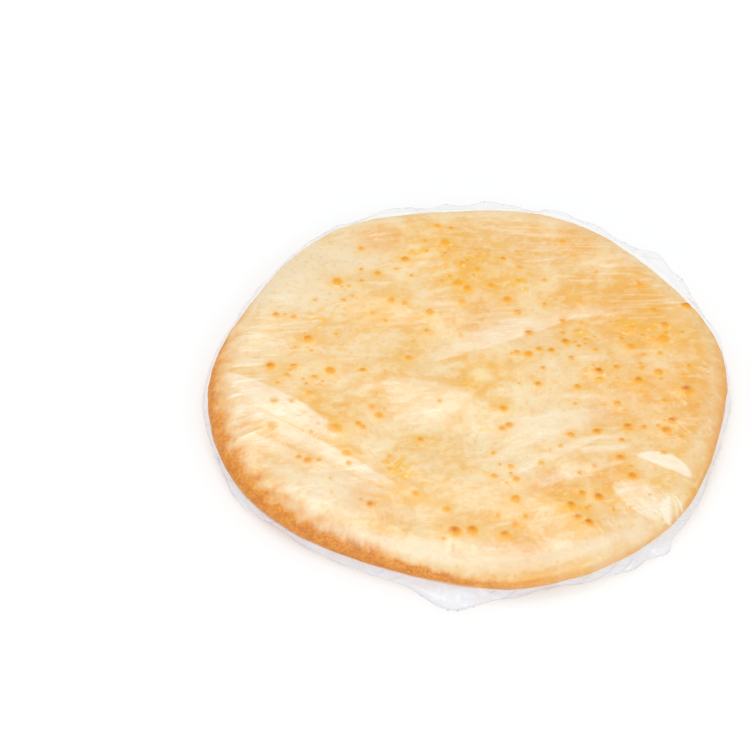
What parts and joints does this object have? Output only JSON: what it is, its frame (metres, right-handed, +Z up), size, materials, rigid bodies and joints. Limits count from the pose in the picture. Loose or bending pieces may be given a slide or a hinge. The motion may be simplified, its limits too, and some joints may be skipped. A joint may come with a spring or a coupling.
{
  "type": "khachapuri",
  "caption": "Round, flat, filled cheese bread, baked pale with small browned blisters, lying in a clear, loose bag with a crinkled brim.",
  "frame": {"origin": "middle of the flat underside of the bag, under the middle of the bread", "axes": "+Z up through the bread's thickness, -Y towards the side with the browned edge, +X to the right of that side"},
  "size_m": [0.2391, 0.2543, 0.0181],
  "materials": {
    "baked_dough": "matt baked crust, pale cream with a tan edge and golden brown blisters",
    "clear_film": "thin clear plastic film, glossy, with soft creases"
  },
  "bodies": {
    "root": {"bread": "baked_dough", "film": "clear_film"}
  },
  "joints": []
}
